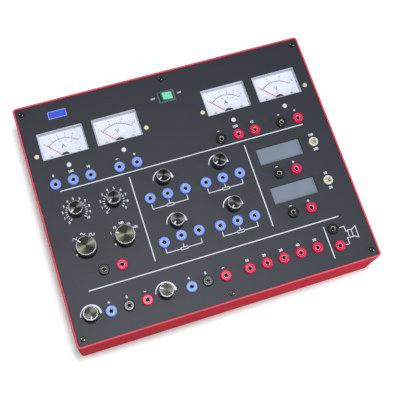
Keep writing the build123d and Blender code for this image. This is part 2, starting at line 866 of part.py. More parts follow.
def board_components(board):
    x, y, w, d = board
    z0 = floor_z + boss_h + board_t
    parts = []
    for k in (-1, 0, 1):
        px = x + k * w / 4
        parts.append(disc(component_h / 2, z0, z0 + component_h * 1.4, px, y + d / 4))
        parts.append(block(px - component_h * 0.8, px + component_h * 0.8, y - component_h / 3,
                           y + component_h / 3, z0, z0 + component_h / 3))
    for k in (-1, 1):
        px = x + k * w / 5
        parts.append(block(px - component_h / 2, px + component_h / 2, y - d / 4 - blade_w / 2,
                           y - d / 4 + blade_w / 2, z0, z0 + component_h * 1.3))
    return parts


# Loudspeaker, face down over the sound holes
def speaker_basket():
    rim = speaker_r - speaker_lip
    neck_z = speaker_depth - magnet_t
    shoulder = magnet_r + speaker_lip - basket_wall
    basket = turned([
        (rim, 0),
        (speaker_r, 0),
        (speaker_r, speaker_rim_t),
        (rim + basket_wall, speaker_rim_t),
        (shoulder, neck_z - basket_wall),
        (shoulder, neck_z),
        (magnet_r, neck_z),
        (magnet_r, speaker_depth),
        (0, speaker_depth),
        (0, neck_z - basket_wall),
        (shoulder - basket_wall, neck_z - basket_wall),
        (rim, speaker_rim_t + basket_wall / 4),
    ])
    return Pos(*speaker, floor_z) * basket


def speaker_cone():
    rim = speaker_r - speaker_lip - cone_gap
    low = 2 * cone_gap
    top = speaker_depth - magnet_t - 4 * basket_wall
    cone = turned([
        (rim, low),
        (rim, low + cone_t),
        (rim - 2 * basket_wall, low + cone_t),
        (cap_r, top),
        (0, top),
        (0, top - cone_t),
        (cap_r - cone_t, top - cone_t),
        (rim - 2 * basket_wall - cone_t, low),
    ])
    return Pos(*speaker, floor_z) * cone


# Mains inlet in the rear wall
def inlet_cavity_shape():
    w = inlet_cavity_w / 2
    h = inlet_cavity_h / 2
    c = inlet_chamfer
    outline = make_face(Polyline(
        (-w, h), (w, h), (w, -h + c), (w - c, -h), (-w + c, -h), (-w, -h + c), close=True,
    ))
    return extrude(Plane.XZ * outline, inlet_cavity_depth)


def mains_inlet():
    back = outer_d / 2
    w = inlet_flange_w / 2
    h = inlet_flange_h / 2
    shell = block(-w, w, -inlet_flange_t, 0, -h, h)
    shell = fillet(shell.edges().filter_by(Axis.Y), inlet_flange_t / 2)
    bw = inlet_body_w / 2
    bh = inlet_body_h / 2
    shell += block(-bw, bw, -inlet_body_depth, -inlet_flange_t, -bh, bh)
    cavity = inlet_cavity_shape()
    shell -= Pos(0, -cavity.bounding_box().max.Y, 0) * cavity
    z0 = -inlet_earth_rise / 2
    for px, pz in ((-inlet_pin_pitch, z0), (inlet_pin_pitch, z0), (0, z0 + inlet_earth_rise)):
        shell += block(px - inlet_pin_w / 2, px + inlet_pin_w / 2, -inlet_cavity_depth,
                       -inlet_cavity_depth + inlet_pin_length, pz - inlet_pin_h / 2,
                       pz + inlet_pin_h / 2)
    return Pos(inlet_x, back, inlet_z) * shell


# Write every sub-part
os.makedirs("parts", exist_ok=True)
save("case_tray", case_tray())
save("front_panel", front_panel())
save("panel_screws", *[panel_screw(x, y) for x, y in screw_places])
save("rubber_feet", *[rubber_foot(x, y) for x, y in foot_places])

save("blue_socket_heads", *[socket_head(x, y) for x, y in blue_sockets])
save("red_socket_heads", *[socket_head(x, y) for x, y in red_sockets])
save("black_socket_heads", *[socket_head(x, y) for x, y in black_sockets])
sockets = blue_sockets + red_sockets + black_sockets
save("socket_sleeves", *[socket_sleeve(x, y) for x, y in sockets])
save("socket_nuts", *[socket_nut(x, y) for x, y in sockets])

for name, (x, y, angle) in pots.items():
    turn = Rot(0, 0, angle)
    save(f"{name}_knob", on_panel(turn * knob(pot_knob_r, pot_knob_h, pot_nut_across), x, y))
    save(f"{name}_shaft", on_panel(turn * shaft(pot_knob_h), x, y))
for name, (x, y, angle) in selectors.items():
    turn = Rot(0, 0, angle)
    cap = knob(selector_knob_r, selector_knob_h, selector_nut_across)
    save(f"{name}_knob", on_panel(turn * cap, x, y))
    save(f"{name}_shaft", on_panel(turn * shaft(selector_knob_h), x, y))
save("pot_bodies", *[pot_body(x, y) for x, y, _ in pots.values()])
save("selector_bodies", *[selector_body(x, y) for x, y, _ in selectors.values()])
nuts = [control_nut(x, y, pot_nut_across, pot_bushing_r) for x, y, _ in pots.values()]
nuts += [
    control_nut(x, y, selector_nut_across, selector_bushing_r) for x, y, _ in selectors.values()
]
nuts += [toggle_nut(x, y) for x, y in toggles]
save("control_nuts", *nuts)

count = range(len(meters))
save("meter_housings", *[in_meter(meter_housing(), k) for k in count])
save("meter_windows", *[in_meter(meter_window(), k) for k in count])
save("meter_dials", *[in_meter(meter_dial(), k) for k in count])
movements = [in_meter(meter_movement(), k) for k in count]
save("meter_movements", *movements, *[in_meter(hub_cover(), k) for k in count])
for k in count:
    save(f"needle_{k + 1}", in_meter(needle(), k))
    save(f"zero_adjuster_{k + 1}", in_meter(zero_adjuster(), k))
save("meter_straps", *[meter_strap(left, right) for left, right in meter_pairs])
save("meter_screws", *[meter_screw(x, y) for x, y in strap_screw_places()])

save("display_glasses", *[display_glass(x, y) for x, y in displays])
save("display_boards", *[display_board(x, y) for x, y in displays])
save("rocker_frame", rocker_frame())
save("rocker_button", rocker_button())
save("toggle_bodies", *[toggle_body(x, y) for x, y in toggles])
for k, (x, y) in enumerate(toggles):
    save(f"toggle_lever_{k + 1}", toggle_lever(x, y))

save("transformer_core", transformer_core())
save("transformer_winding", transformer_winding())
save("circuit_boards", *[circuit_board(board) for board in boards])
save("board_components", *[part for board in boards for part in board_components(board)])
save("speaker_basket", speaker_basket())
save("speaker_cone", speaker_cone())
save("mains_inlet", mains_inlet())
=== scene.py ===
import json
import math

import bmesh
import bpy
from mathutils import Matrix, Vector


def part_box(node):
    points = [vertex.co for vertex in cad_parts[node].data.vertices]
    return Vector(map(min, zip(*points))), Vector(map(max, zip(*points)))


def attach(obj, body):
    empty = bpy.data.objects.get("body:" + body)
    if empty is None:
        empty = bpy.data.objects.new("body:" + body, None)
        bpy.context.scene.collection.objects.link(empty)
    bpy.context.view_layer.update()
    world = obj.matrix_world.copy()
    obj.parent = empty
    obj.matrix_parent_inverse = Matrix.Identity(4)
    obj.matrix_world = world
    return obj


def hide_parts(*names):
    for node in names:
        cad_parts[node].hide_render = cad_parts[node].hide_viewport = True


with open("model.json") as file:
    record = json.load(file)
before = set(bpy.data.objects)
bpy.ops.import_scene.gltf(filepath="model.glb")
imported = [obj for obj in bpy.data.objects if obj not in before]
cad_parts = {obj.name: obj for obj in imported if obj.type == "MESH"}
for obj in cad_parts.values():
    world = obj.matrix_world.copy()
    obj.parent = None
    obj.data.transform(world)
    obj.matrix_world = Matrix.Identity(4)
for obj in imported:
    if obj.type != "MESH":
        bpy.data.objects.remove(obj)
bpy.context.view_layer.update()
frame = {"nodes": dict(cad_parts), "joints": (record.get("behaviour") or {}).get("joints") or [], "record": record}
nodes = frame["nodes"]
mounts = frame["record"]["mounts"]
joints = {joint["child"]: joint for joint in frame["joints"]}

# Lengths below are millimetres; a piece becomes metres when it is made
MM = 0.001
panel_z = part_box("front_panel")[1].z / MM
print_t = 0.06
axis_r = 1e-6
heal_distance = 1e-4
crease_angle = math.radians(35)

# Rounded corners: points on each, most of a side it takes, and the guard points beside it
corner_steps = 3
corner_share = 0.49
guard_factor = 1.2
guard_share = 0.4

# Lines: a sharp corner is drawn out no further than this cosine allows
mitre_limit = 0.35

# Text: height of a capital at font size one, and points on each curve
capital_h = 0.7
text_steps = 3


# Outlines and places
def rounded_corner(before, here, after, radius):
    """Points that round the corner at here, between the points before and after it."""
    back = before - here
    ahead = after - here
    angle = back.angle(ahead)
    reach = min(radius / math.tan(angle / 2), back.length * corner_share,
                ahead.length * corner_share)
    start = here + back.normalized() * reach
    end = here + ahead.normalized() * reach
    guard = reach * guard_factor
    points = []
    if guard < back.length * guard_share:
        points.append(here + back.normalized() * guard)
    for step in range(corner_steps + 1):
        t = step / corner_steps
        points.append(start * (1 - t) ** 2 + here * 2 * t * (1 - t) + end * t ** 2)
    if guard < ahead.length * guard_share:
        points.append(here + ahead.normalized() * guard)
    return [(point.x, point.y) for point in points]


def soften(points):
    """Closed outline of (x, y, radius) points with each corner rounded by its radius."""
    out = []
    count = len(points)
    for k in range(count):
        px, py, radius = points[k]
        if radius <= 0:
            out.append((px, py))
            continue
        before = Vector(points[k - 1][:2])
        after = Vector(points[(k + 1) % count][:2])
        out += rounded_corner(before, Vector((px, py)), after, radius)
    return out


def rectangle(w, d, r=0.0):
    return soften([(-w / 2, -d / 2, r), (w / 2, -d / 2, r), (w / 2, d / 2, r), (-w / 2, d / 2, r)])


def plus_outline(reach, half):
    """A plus sign whose arms reach out from the middle and are twice half wide."""
    corner = [(reach, -half), (reach, half), (half, half)]
    turns = [corner, [(-y, x) for x, y in corner], [(-x, -y) for x, y in corner],
             [(y, -x) for x, y in corner]]
    return [point for part in turns for point in part]


def moved(outline, dx, dy):
    return [(x + dx, y + dy) for x, y in outline]


def outline_area(points):
    """Twice the area inside a closed outline, positive when it is listed anticlockwise."""
    pairs = zip(points, points[1:] + points[:1])
    return sum(p[0] * q[1] - q[0] * p[1] for p, q in pairs)


def polar(x, y, r, angle):
    a = math.radians(angle)
    return (x + r * math.cos(a), y + r * math.sin(a))


def at(x, y, z=0.0, turn=0.0):
    """A place on the panel, with z above its face."""
    return Matrix.Translation((x, y, panel_z + z)) @ Matrix.Rotation(math.radians(turn), 4, "Z")


# Meshes
def no_cut(r, z, a):
    return 0.0


def ring_faces(rings, sides):
    """Faces between rings of points, where a ring of one point is a pole."""
    pairs = list(zip(rings, rings[1:]))
    if len(rings[0]) > 1 and len(rings[-1]) > 1:
        pairs.append((rings[-1], rings[0]))
    faces = []
    for a, b in pairs:
        if len(a) == 1 and len(b) == 1:
            continue
        for i in range(sides):
            j = (i + 1) % sides
            if len(a) == 1:
                faces.append([a[0], b[j], b[i]])
            elif len(b) == 1:
                faces.append([a[i], a[j], b[0]])
            else:
                faces.append([a[i], a[j], b[j], b[i]])
    return faces


def text_mesh(text, height, weight):
    """Plain sans-serif characters as thick as the print, centred on the origin."""
    curve = bpy.data.curves.new("letters", "FONT")
    curve.body = text
    curve.align_x = "CENTER"
    curve.align_y = "CENTER"
    curve.size = height / capital_h
    curve.offset = weight
    curve.resolution_u = text_steps
    curve.extrude = print_t / 2
    holder = bpy.data.objects.new("letters", curve)
    mesh = bpy.data.meshes.new_from_object(holder)
    bpy.data.objects.remove(holder)
    bpy.data.curves.remove(curve)
    return mesh


def heal(mesh):
    """Merges doubled points and turns the faces outward."""
    shape = bmesh.new()
    shape.from_mesh(mesh)
    bmesh.ops.remove_doubles(shape, verts=shape.verts, dist=heal_distance)
    bmesh.ops.dissolve_degenerate(shape, edges=shape.edges, dist=heal_distance)
    bmesh.ops.recalc_face_normals(shape, faces=shape.faces)
    shape.to_mesh(mesh)
    shape.free()


class Solid:
    """Faces in millimetres, gathered into one mesh."""

    def __init__(self):
        self.verts = []
        self.faces = []

    def add(self, verts, faces, place):
        base = len(self.verts)
        self.verts += [place @ Vector(v) for v in verts]
        self.faces += [[base + i for i in face] for face in faces]

    def lathe(self, profile, sides, place, cut=no_cut):
        """Turns an outline of (r, z) round Z; cut gives the depth of grooves at r, z, angle."""
        if outline_area(profile) < 0:
            profile = profile[::-1]
        verts = []
        rings = []
        for r, z in profile:
            count = 1 if r < axis_r else sides
            rings.append([len(verts) + k for k in range(count)])
            for k in range(count):
                a = 2 * math.pi * k / sides
                reach = r - cut(r, z, a)
                verts.append((reach * math.cos(a), reach * math.sin(a), z))
        self.add(verts, ring_faces(rings, sides), place)

    def prism(self, outline, z0, z1, place):
        """Extrudes a closed outline, listed anticlockwise, from z0 to z1."""
        count = len(outline)
        verts = [(x, y, z) for z in (z0, z1) for x, y in outline]
        faces = [list(range(count - 1, -1, -1)), list(range(count, 2 * count))]
        for k in range(count):
            j = (k + 1) % count
            faces.append([k, j, count + j, count + k])
        self.add(verts, faces, place)

    def band(self, inner, outer, z0, z1, place, closed=True):
        """A strip between two outlines with the same number of points."""
        count = len(inner)
        verts = [(x, y, z) for z in (z0, z1) for edge in (inner, outer) for x, y in edge]
        a, b, c, d = 0, count, 2 * count, 3 * count
        faces = []
        for k in range(count if closed else count - 1):
            j = (k + 1) % count
            faces += [
                [b + j, b + k, a + k, a + j], [d + k, d + j, c + j, c + k],
                [c + k, c + j, a + j, a + k], [d + j, d + k, b + k, b + j],
            ]
        if not closed:
            e = count - 1
            faces += [[b, d, c, a], [a + e, c + e, d + e, b + e]]
        self.add(verts, faces, place)

    def stroke(self, points, width, z0, z1, place, closed=False):
        """A line of even width through the points, with mitred corners."""
        count = len(points)
        left = []
        right = []
        for k in range(count):
            here = Vector(points[k])
            ways = []
            if closed or k > 0:
                ways.append((here - Vector(points[k - 1])).normalized())
            if closed or k < count - 1:
                ways.append((Vector(points[(k + 1) % count]) - here).normalized())
            way = sum(ways, Vector((0, 0))).normalized()
            side = Vector((-way.y, way.x))
            cosine = max(mitre_limit, side.dot(Vector((-ways[0].y, ways[0].x))))
            offset = side * (width / 2 / cosine)
            left.append(tuple(here + offset))
            right.append(tuple(here - offset))
        self.band(left, right, z0, z1, place, closed)

    def arc(self, r, widths, angles, z0, z1, place, steps):
        """An arc inside the radius r, from the first width and angle to the last ones."""
        inner = []
        outer = []
        for k in range(steps + 1):
            t = k / steps
            a = math.radians(angles[0] + (angles[1] - angles[0]) * t)
            w = widths[0] + (widths[1] - widths[0]) * t
            outer.append((r * math.cos(a), r * math.sin(a)))
            inner.append(((r - w) * math.cos(a), (r - w) * math.sin(a)))
        if angles[1] < angles[0]:
            inner.reverse()
            outer.reverse()
        self.band(inner, outer, z0, z1, place, False)

    def letters(self, text, height, place, weight=0.0):
        """Printed characters, centred on the place."""
        mesh = text_mesh(text, height, weight)
        heal(mesh)
        lift = Matrix.Translation((0, 0, print_t / 2))
        verts = [lift @ v.co for v in mesh.vertices]
        faces = [list(p.vertices) for p in mesh.polygons]
        bpy.data.meshes.remove(mesh)
        self.add(verts, faces, place)

    def make(self, name, body, material, replaces=()):
        """Turns the faces into a piece that rides on a body."""
        mesh = bpy.data.meshes.new(name)
        mesh.from_pydata([v * MM for v in self.verts], [], self.faces)
        mesh.validate()
        mesh.shade_smooth()
        mesh.set_sharp_from_angle(angle=crease_angle)
        mesh.materials.append(material)
        piece = bpy.data.objects.new(name, mesh)
        bpy.context.scene.collection.objects.link(piece)
        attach(piece, body)
        for node in replaces:
            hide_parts(node)


# Materials
def srgb(r, g, b):
    def linear(c):
        c /= 255
        return c / 12.92 if c <= 0.04045 else ((c + 0.055) / 1.055) ** 2.4
    return (linear(r), linear(g), linear(b), 1.0)


def set_sockets(node, values):
    """Fixed values for the sockets that are named, with _ for a space."""
    for key, value in values.items():
        node.inputs[key.replace("_", " ")].default_value = value


def add_node(tree, kind, **values):
    node = tree.nodes.new(kind)
    set_sockets(node, values)
    return node


def combine(tree, operation, first, second, clamp=False):
    """The output of a sum or product of two others."""
    node = add_node(tree, "ShaderNodeMath")
    node.operation = operation
    node.use_clamp = clamp
    tree.links.new(first, node.inputs[0])
    tree.links.new(second, node.inputs[1])
    return node.outputs["Value"]


def colour_ramp(tree, colour, vary):
    """A ramp from a little darker than the colour to a little lighter."""
    ramp = add_node(tree, "ShaderNodeValToRGB")
    darker, lighter = ramp.color_ramp.elements
    darker.position = 0.3
    lighter.position = 0.7
    darker.color = tuple(c * (1 - vary) for c in colour[:3]) + (1.0,)
    lighter.color = tuple(min(1, c * (1 + vary)) for c in colour[:3]) + (1.0,)
    return ramp


def material(name, colour, rough, metallic=0.0, vary=0.06, vary_scale=300.0, bump=0.0,
             bump_scale=1500.0, bump_depth=0.0001, **sockets):
    """A principled surface with fine colour variation and grain; sockets sets fixed values."""
    mat = bpy.data.materials.new(name)
    mat.use_nodes = True
    tree = mat.node_tree
    shader = tree.nodes["Principled BSDF"]
    set_sockets(shader, {"Roughness": rough, "Metallic": metallic, **sockets})
    coords = add_node(tree, "ShaderNodeTexCoord")
    noise = add_node(tree, "ShaderNodeTexNoise", Scale=vary_scale, Detail=4.0)
    ramp = colour_ramp(tree, colour, vary)
    tree.links.new(coords.outputs["Object"], noise.inputs["Vector"])
    tree.links.new(noise.outputs["Fac"], ramp.inputs["Fac"])
    tree.links.new(ramp.outputs["Color"], shader.inputs["Base Color"])
    if bump:
        grain = add_node(tree, "ShaderNodeTexNoise", Scale=bump_scale, Detail=3.0)
        relief = add_node(tree, "ShaderNodeBump", Strength=bump, Distance=bump_depth)
        tree.links.new(coords.outputs["Object"], grain.inputs["Vector"])
        tree.links.new(grain.outputs["Fac"], relief.inputs["Height"])
        tree.links.new(relief.outputs["Normal"], shader.inputs["Normal"])
    return mat


def spun_metal(name, colour, rough):
    """Metal turned on a lathe: highlights fan out from the middle of the piece."""
    mat = material(name, colour, rough, 1.0, vary=0.05, Anisotropic=0.95)
    tree = mat.node_tree
    shader = tree.nodes["Principled BSDF"]
    tangent = add_node(tree, "ShaderNodeTangent")
    tangent.direction_type = "RADIAL"
    tangent.axis = "Z"
    tree.links.new(tangent.outputs["Tangent"], shader.inputs["Tangent"])
    return mat


def clear_plastic(name, colour, low, high):
    """Clear plastic: nearly see-through face on, with more reflection at a glancing angle."""
    mat = material(name, colour, 0.04, vary=0.01)
    tree = mat.node_tree
    shader = tree.nodes["Principled BSDF"]
    facing = add_node(tree, "ShaderNodeFresnel", IOR=1.49)
    spread = add_node(tree, "ShaderNodeMapRange", From_Min=0.04, From_Max=0.6, To_Min=low,
                      To_Max=high)
    tree.links.new(facing.outputs["Fac"], spread.inputs["Value"])
    tree.links.new(spread.outputs["Result"], shader.inputs["Alpha"])
    return mat


def rubbed_rim(mat, pale):
    """A painted highlight along the upper rim of the tray: the paint is mixed unevenly towards a paler colour
    there.
    """
    highlight_low = (panel_z + 0.8) * MM
    highlight_high = (panel_z + 1.0) * MM
    tree = mat.node_tree
    shader = tree.nodes["Principled BSDF"]
    paint = shader.inputs["Base Color"].links[0].from_socket
    coords = add_node(tree, "ShaderNodeTexCoord")
    axes = add_node(tree, "ShaderNodeSeparateXYZ")
    height = add_node(tree, "ShaderNodeMapRange", From_Min=highlight_low, From_Max=highlight_high)
    patches = add_node(tree, "ShaderNodeTexNoise", Scale=60.0)
    uneven = add_node(tree, "ShaderNodeMapRange", From_Min=0.3, From_Max=0.7, To_Min=0.7)
    tree.links.new(coords.outputs["Object"], axes.inputs["Vector"])
    tree.links.new(axes.outputs["Z"], height.inputs["Value"])
    tree.links.new(coords.outputs["Object"], patches.inputs["Vector"])
    tree.links.new(patches.outputs["Fac"], uneven.inputs["Value"])
    share = combine(tree, "MULTIPLY", height.outputs["Result"], uneven.outputs["Result"])
    mix = add_node(tree, "ShaderNodeMix")
    mix.data_type = "RGBA"
    mix.inputs["B"].default_value = pale
    tree.links.new(share, mix.inputs["Factor"])
    tree.links.new(paint, mix.inputs["A"])
    tree.links.new(mix.outputs["Result"], shader.inputs["Base Color"])
    return mat


# Paint, print, plastic and rubber
red_paint = material("red_paint", srgb(196, 17, 43), 0.6, vary=0.05, vary_scale=120.0,
                     bump=0.12, bump_scale=900.0, Specular_IOR_Level=0.02)
panel_paint = material("panel_paint", srgb(24, 29, 41), 0.56, vary=0.1, vary_scale=900.0,
                       bump=0.2, bump_scale=2600.0, bump_depth=0.00006,
                       Specular_IOR_Level=0.52)
white_ink = material("white_ink", srgb(226, 228, 240), 0.55, vary=0.05, vary_scale=1400.0)
scale_ink = material("scale_ink", srgb(120, 126, 152), 0.6, vary=0.08, vary_scale=1600.0)
blue_plastic = material("blue_plastic", srgb(134, 161, 247), 0.28, vary=0.05, bump=0.05,
                        Specular_IOR_Level=0.25)
red_plastic = material("red_plastic", srgb(231, 31, 84), 0.28, vary=0.05, bump=0.05,
                       Specular_IOR_Level=0.28)
black_plastic = material("black_plastic", srgb(32, 32, 37), 0.24, vary=0.12, bump=0.05,
                         Specular_IOR_Level=0.45)
white_plastic = material("white_plastic", srgb(222, 223, 232), 0.4, vary=0.03, bump=0.06)
knob_black = material("knob_black", srgb(32, 33, 36), 0.4, vary=0.1, bump=0.08)
hub_black = material("hub_black", srgb(20, 20, 22), 0.5, vary=0.12, bump=0.1)
moulded_black = material("moulded_black", srgb(22, 22, 24), 0.5, vary=0.12, bump=0.12)
rocker_grey = material("rocker_grey", srgb(92, 92, 96), 0.42, vary=0.06, bump=0.1)
# Painted glow: the rocker's green moulding and its window give out a little light of their own colour
rocker_green = material("rocker_green", srgb(20, 116, 90), 0.25, vary=0.06,
                        Emission_Color=srgb(20, 120, 92), Emission_Strength=0.12)
glowing_rocker_lens = material("glowing_rocker_lens", srgb(120, 200, 166), 0.3, vary=0.12, vary_scale=350.0,
                       Emission_Color=srgb(150, 232, 200), Emission_Strength=0.14)
blank_blue = material("blank_blue", srgb(52, 84, 214), 0.4, vary=0.05)
rubber = material("rubber", srgb(28, 28, 29), 0.8, vary=0.15, bump=0.3, bump_scale=900.0)

# Metals
nickel = material("nickel", (0.88, 0.88, 0.78, 1), 0.42, 0.5, vary=0.08, vary_scale=700.0,
                  bump=0.06)
# Darker metal lining the socket bores below the sleeve mouth: painted shade inside the holes
bore_shade_metal = material("bore_shade_metal", (0.2, 0.21, 0.2, 1), 0.5, 1.0, vary=0.15, bump=0.1)
ivory_metal = material("ivory_metal", srgb(220, 215, 194), 0.42, 0.35, vary=0.08,
                       vary_scale=900.0, bump=0.1)
lever_metal = material("lever_metal", srgb(236, 234, 225), 0.42, 0.3, vary=0.05, bump=0.05)
brass = material("brass", srgb(229, 221, 194), 0.4, 0.45, vary=0.08, bump=0.06)
pin_brass = material("pin_brass", srgb(178, 170, 112), 0.45, 0.45, vary=0.08, bump=0.06)
spun_dark = spun_metal("spun_dark", (0.055, 0.055, 0.055, 1), 0.42)
spun_grey = spun_metal("spun_grey", (0.062, 0.065, 0.054, 1), 0.44)
spun_olive = spun_metal("spun_olive", (0.07, 0.078, 0.056, 1), 0.42)
bright_edge = material("bright_edge", (0.5, 0.51, 0.5, 1), 0.34, 0.7, vary=0.04, bump=0.04)
screw_black = material("screw_black", srgb(26, 26, 28), 0.42, vary=0.1, bump=0.05,
                       Specular_IOR_Level=0.3)
# Light metal for the painted highlights on the panel screws
glint_steel = material("glint_steel", srgb(172, 172, 170), 0.35, 0.3, vary=0.15, bump=0.1)
satin_metal = material("satin_metal", (0.6, 0.6, 0.6, 1), 0.36, 1.0, vary=0.08, bump=0.08)
core_steel = material("core_steel", (0.2, 0.2, 0.21, 1), 0.45, 0.9, vary=0.15, bump=0.2)

# Meters, displays and the parts inside
clear_cover = clear_plastic("clear_cover", (0.8, 0.83, 0.87, 1), 0.015, 0.2)
frosted_wall = material("frosted_wall", srgb(212, 217, 230), 0.4, vary=0.04, Alpha=0.85)
dial_white = material("dial_white", srgb(228, 231, 240), 0.6, vary=0.02, vary_scale=500.0,
                      bump=0.06)
needle_red = material("needle_red", srgb(236, 104, 120), 0.4, vary=0.04)
display_blue = material("display_blue", srgb(126, 136, 151), 0.16, vary=0.04, vary_scale=60.0,
                        Specular_IOR_Level=0.4)
winding_tape = material("winding_tape", srgb(196, 164, 70), 0.45, vary=0.1, bump=0.15)
board_green = material("board_green", srgb(24, 84, 46), 0.4, vary=0.12, bump=0.1)
paper_cone = material("paper_cone", srgb(34, 33, 33), 0.85, vary=0.15, bump=0.3)

# The tray's paint carries a painted highlight along its upper rim
cad_materials = {
    "case_tray": rubbed_rim(red_paint, srgb(216, 98, 114)), "front_panel": panel_paint,
    "panel_screws": screw_black, "rubber_feet": rubber,
    "socket_nuts": satin_metal, "control_nuts": ivory_metal,
    "pot_bodies": satin_metal, "selector_bodies": moulded_black,
    "meter_housings": moulded_black, "meter_movements": hub_black,
    "meter_straps": satin_metal, "meter_screws": brass, "meter_dials": dial_white,
    "display_glasses": display_blue, "display_boards": board_green,
    "rocker_frame": rocker_grey, "rocker_button": rocker_green,
    "toggle_bodies": ivory_metal, "transformer_core": core_steel,
    "transformer_winding": winding_tape, "circuit_boards": board_green,
    "board_components": moulded_black, "speaker_basket": moulded_black,
    "speaker_cone": paper_cone, "mains_inlet": moulded_black,
}
for name in nodes:
    if name.startswith("needle"):
        cad_materials[name] = needle_red
    elif name.startswith("zero_adjuster"):
        cad_materials[name] = white_plastic
    elif name.startswith("toggle_lever"):
        cad_materials[name] = lever_metal
    elif name.endswith("_shaft"):
        cad_materials[name] = satin_metal
for name, mat in cad_materials.items():
    mesh = nodes[name].data
    mesh.materials.clear()
    mesh.materials.append(mat)

# Sockets: a moulded head with rounded edges, and a nickel sleeve inside it
head_sides = 40
head_r = 5.75
head_h = 4.2
head_seat = 0.02
head_bore_r = 2.66
head_mouth_r = 2.54
barrel_r = 3.9
barrel_end = -17.0
sleeve_sides = 32
sleeve_r = 2.6
sleeve_neck_r = 2.5
sleeve_inner_r = 2.3
tail_r = 1.0
tail_end = -22.0
plug_r = 2.0
plug_mouth_r = 2.02
bore_top = 1.0
bore_end = -15.0
lining_end = -16.9

head_profile = soften([
    (head_bore_r, barrel_end, 0), (barrel_r, barrel_end, 0.1), (barrel_r, head_seat, 0),
    (head_r, head_seat, 0.15), (head_r, 3.2, 0.5), (4.85, head_h, 0.5), (2.9, head_h, 0.2),
    (head_mouth_r, 3.9, 0), (head_mouth_r, 3.1, 0), (head_bore_r, 2.9, 0),
])
sleeve_profile = soften([
    (plug_mouth_r, bore_top, 0), (plug_mouth_r, 3.0, 0), (2.38, 3.8, 0.05),
    (sleeve_neck_r, 3.75, 0.05), (sleeve_neck_r, 3.0, 0), (sleeve_r, 2.8, 0),
    (sleeve_r, barrel_end, 0.2), (tail_r, barrel_end, 0), (tail_r, tail_end, 0.2),
    (0, tail_end, 0), (0, lining_end, 0), (sleeve_inner_r, lining_end, 0),
    (sleeve_inner_r, bore_top, 0),
])
bore_profile = [
    (0, bore_end), (plug_r, bore_end), (plug_r, bore_top), (sleeve_inner_r, bore_top),
    (sleeve_inner_r, lining_end), (0, lining_end),
]


def socket_places(colour):
    wanted = [m for m in mounts if m["name"].startswith(colour + "_socket")]
    return [(m["pos_m"][0] / MM, m["pos_m"][1] / MM) for m in wanted]


sleeves = Solid()
# The bore linings are darker than the nickel sleeves: painted shade in the holes
shaded_bores = Solid()
for colour, plastic in (("blue", blue_plastic), ("red", red_plastic), ("black", black_plastic)):
    heads = Solid()
    for x, y in socket_places(colour):
        heads.lathe(head_profile, head_sides, at(x, y))
        sleeves.lathe(sleeve_profile, sleeve_sides, at(x, y))
        shaded_bores.lathe(bore_profile, sleeve_sides, at(x, y))
    node = colour + "_socket_heads"
    heads.make(colour + "_socket_moulding", "case", plastic, [node])
sleeves.make("plug_sleeves", "case", nickel, ["socket_sleeves"])
shaded_bores.make("plug_sleeve_bores_shaded", "case", bore_shade_metal)

# Knobs: fluted black skirt, spun metal cap with a bright edge, white pointer
knob_gap = 0.8
cap_h = 1.7
cap_sides = 96
shaft_bore_r = 3.05
hollow_h = 3.0
flute_depth = 0.35
flute_low = 1.2
flute_margin = 0.1
sides_per_flute = 8
pointer_half = 0.62
pointer_margin = 0.35
pointer_depth = 0.4

# Radius, height, radius of the hollow, flutes, and where the pointer starts on the radius
large_knob = (10.4, 15.5, 7.5, 30, 0.62)
small_knob = (7.5, 14.0, 6.35, 24, 0.46)

pointer_angle = {
    "amplitude": 213.0, "frequency": 214.0, "pot_1": 212.0, "pot_2": 209.0, "pot_3": 221.0,
    "pot_4": 234.0, "supply_1": 264.0, "supply_2": 148.0, "function": 136.0, "range": 154.0,
}


def skirt_profile(radius, skirt_top, hollow):
    low = knob_gap
    ceiling = low + hollow_h
    return soften([
        (shaft_bore_r, skirt_top, 0), (shaft_bore_r, ceiling, 0), (hollow, ceiling, 0),
        (hollow, low, 0.2), (radius + 0.1, low, 0.3), (radius + 0.1, low + 1.0, 0),
        (radius + 0.05, low + 1.3, 0), (radius, skirt_top - 0.6, 0),
        (radius - 0.25, skirt_top, 0.1),
    ])


def rim_profile(radius, skirt_top, top):
    return soften([
        (0, skirt_top, 0), (radius - 0.2, skirt_top, 0.1), (radius - 0.05, top - 0.95, 0.1),
        (radius - 0.75, top - 0.12, 0.1), (radius - 0.95, top - 0.12, 0),
        (radius - 0.95, top - 0.5, 0), (0, top - 0.5, 0),
    ])


def disc_profile(radius, top):
    return [
        (0, top - 0.6), (radius - 0.9, top - 0.6), (radius - 0.9, top - 0.14),
        (radius - 1.05, top - 0.06), (radius - 1.2, top - 0.06), (0, top - 0.06),
    ]


def pointer_outline(start, end):
    return soften([(start, -pointer_half, 0.3), (end, -pointer_half, 0.1),
                   (end, pointer_half, 0.1), (start, pointer_half, 0.3)])


def make_knob(body, cap_metal, radius, height, hollow, flutes, pointer_share):
    top = knob_gap + height
    skirt_top = top - cap_h

    def flute_cut(r, z, a):
        if r <= hollow or z < knob_gap + flute_low or z > skirt_top - flute_margin:
            return 0.0
        return flute_depth * (0.5 - 0.5 * math.cos(flutes * a))

    x, y, _ = joints[body]["pos_m"]
    place = at(x / MM, y / MM)
    node = body + "_knob"
    skirt = Solid()
    skirt.lathe(skirt_profile(radius, skirt_top, hollow), flutes * sides_per_flute, place,
                flute_cut)
    skirt.make(node + "_skirt", body, knob_black, [node])
    rim = Solid()
    rim.lathe(rim_profile(radius, skirt_top, top), cap_sides, place)
    rim.make(node + "_rim", body, bright_edge)
    disc = Solid()
    disc.lathe(disc_profile(radius, top), cap_sides, place)
    disc.make(node + "_disc", body, cap_metal)
    mark = Solid()
    bar = pointer_outline(radius * pointer_share, radius - pointer_margin)
    mark.prism(bar, top - pointer_depth, top, at(x / MM, y / MM, 0, pointer_angle[body]))
    mark.make(node + "_pointer", body, white_ink)


